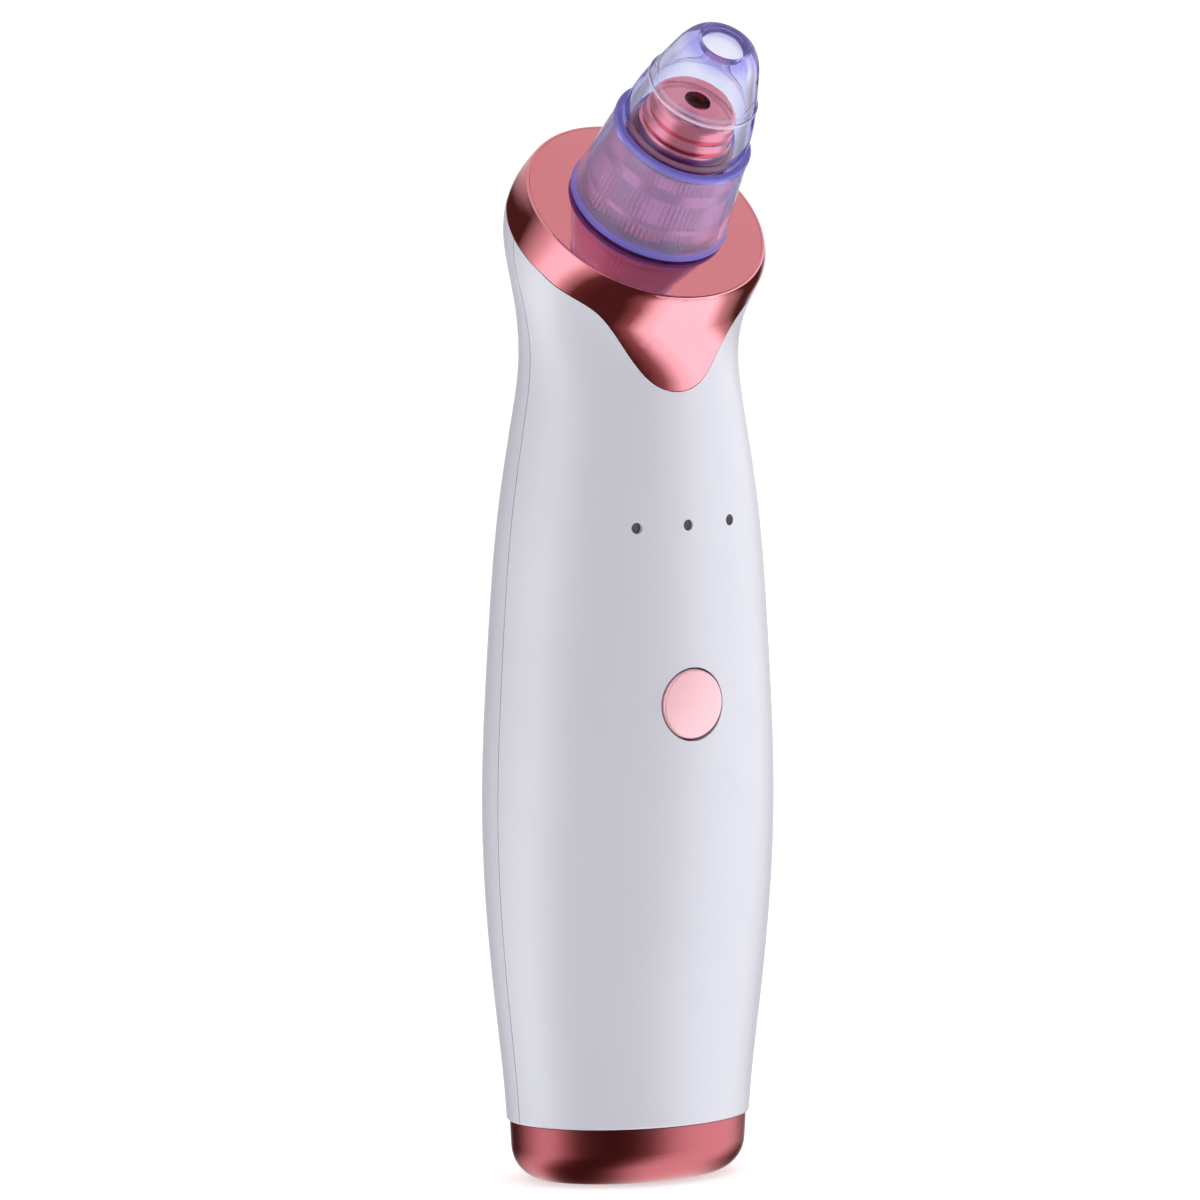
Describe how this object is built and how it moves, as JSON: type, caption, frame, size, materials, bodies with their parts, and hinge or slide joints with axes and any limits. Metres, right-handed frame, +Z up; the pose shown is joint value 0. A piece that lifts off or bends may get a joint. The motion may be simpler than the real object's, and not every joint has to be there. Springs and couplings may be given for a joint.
{
  "type": "blackhead vacuum extractor",
  "caption": "Hand-held facial pore vacuum: slim oval handle, plated tilted head, ribbed nozzle and a clear removable suction probe, with a motor pump inside.",
  "frame": {"origin": "middle of the flat base, on the surface it stands on", "axes": "+Z up along the handle, -Y towards the button side, which the nozzle leans to, +X to the right of someone who faces the button"},
  "size_m": [0.045, 0.0448, 0.168],
  "materials": {
    "shell": "glossy white",
    "plated": "rose-gold plating",
    "base": "satin rose-gold",
    "button": "rose-gold plating",
    "violet_clear": "tinted clear plastic",
    "clear": "clear plastic",
    "black_plastic": "moulded",
    "silicone": "soft",
    "sponge": "open-cell foam",
    "steel": "nickel plated",
    "brass": "stamped",
    "copper": "enamelled copper",
    "ceramic": "fired ceramic",
    "lamp": "phosphor",
    "board": "solder mask",
    "cell_wrap": "shrink sleeve",
    "pump_plastic": "nylon",
    "hose": "silicone hose",
    "red_lead": "wire insulation"
  },
  "bodies": {
    "handle": {"base_cap": "base", "battery_cell": "cell_wrap", "battery_leads": "red_lead", "battery_terminals": "steel", "board_chips": "black_plastic", "board_passives": "ceramic", "board_screws": "steel", "cell_pad": "sponge", "charging_leads": "red_lead", "chip_legs": "steel", "circuit_board": "board", "diaphragm": "silicone", "filter_sponge": "sponge", "front_shell": "shell", "head_collar": "plated", "head_deck": "plated", "hose_fitting": "black_plastic", "lamp_chips": "lamp", "light_guide": "clear", "motor_brushes": "brass", "motor_bushes": "brass", "motor_can": "steel", "motor_end_cap": "black_plastic", "motor_leads": "red_lead", "motor_magnets": "ceramic", "motor_sleeve": "silicone", "motor_terminals": "brass", "nozzle_seat": "plated", "power_coil": "ceramic", "pump_base": "pump_plastic", "pump_cover": "pump_plastic", "pump_screws": "steel", "rear_shell": "shell", "seat_nut": "black_plastic", "spigot_ring": "silicone", "suction_hose": "hose", "switch_cover": "steel", "tact_switch": "black_plastic", "usb_board": "board", "usb_screws": "steel", "usb_socket": "steel", "usb_tongue": "black_plastic", "valve_flap": "silicone", "valve_plate": "pump_plastic"},
    "button": {"power_button": "button", "switch_plunger": "black_plastic"},
    "probe": {"probe_tip": "clear", "probe_skirt": "violet_clear"},
    "rotor": {"motor_shaft": "steel", "motor_armature": "steel", "motor_windings": "copper", "motor_commutator": "copper", "crank_wheel": "pump_plastic", "crank_pin": "steel"},
    "rocker": {"drive_plate": "pump_plastic", "cup_stems": "silicone"}
  },
  "joints": [
    {"name": "button_press", "type": "slide", "parent": "handle", "child": "button", "axis": [0, 1, 0], "range_m": [0, 0.0004], "stiffness_N_per_m": 1500},
    {"name": "probe_pull", "type": "slide", "parent": "handle", "child": "probe", "axis": [0, -0.6018, 0.7986], "range_m": [0, 0.03]},
    {"name": "motor_spin", "type": "hinge", "parent": "handle", "child": "rotor", "pos_m": [0, 0.0004, 0.03], "axis": [0, 0, 1], "continuous": true},
    {"name": "plate_rock", "type": "hinge", "parent": "rotor", "child": "rocker", "pos_m": [0, 0.0004, 0.0444], "axis": [0.1045, 0, 0.9945], "continuous": true}
  ],
  "couplings": [
    {"joint": "plate_rock", "follows": "motor_spin", "ratio": -1}
  ]
}
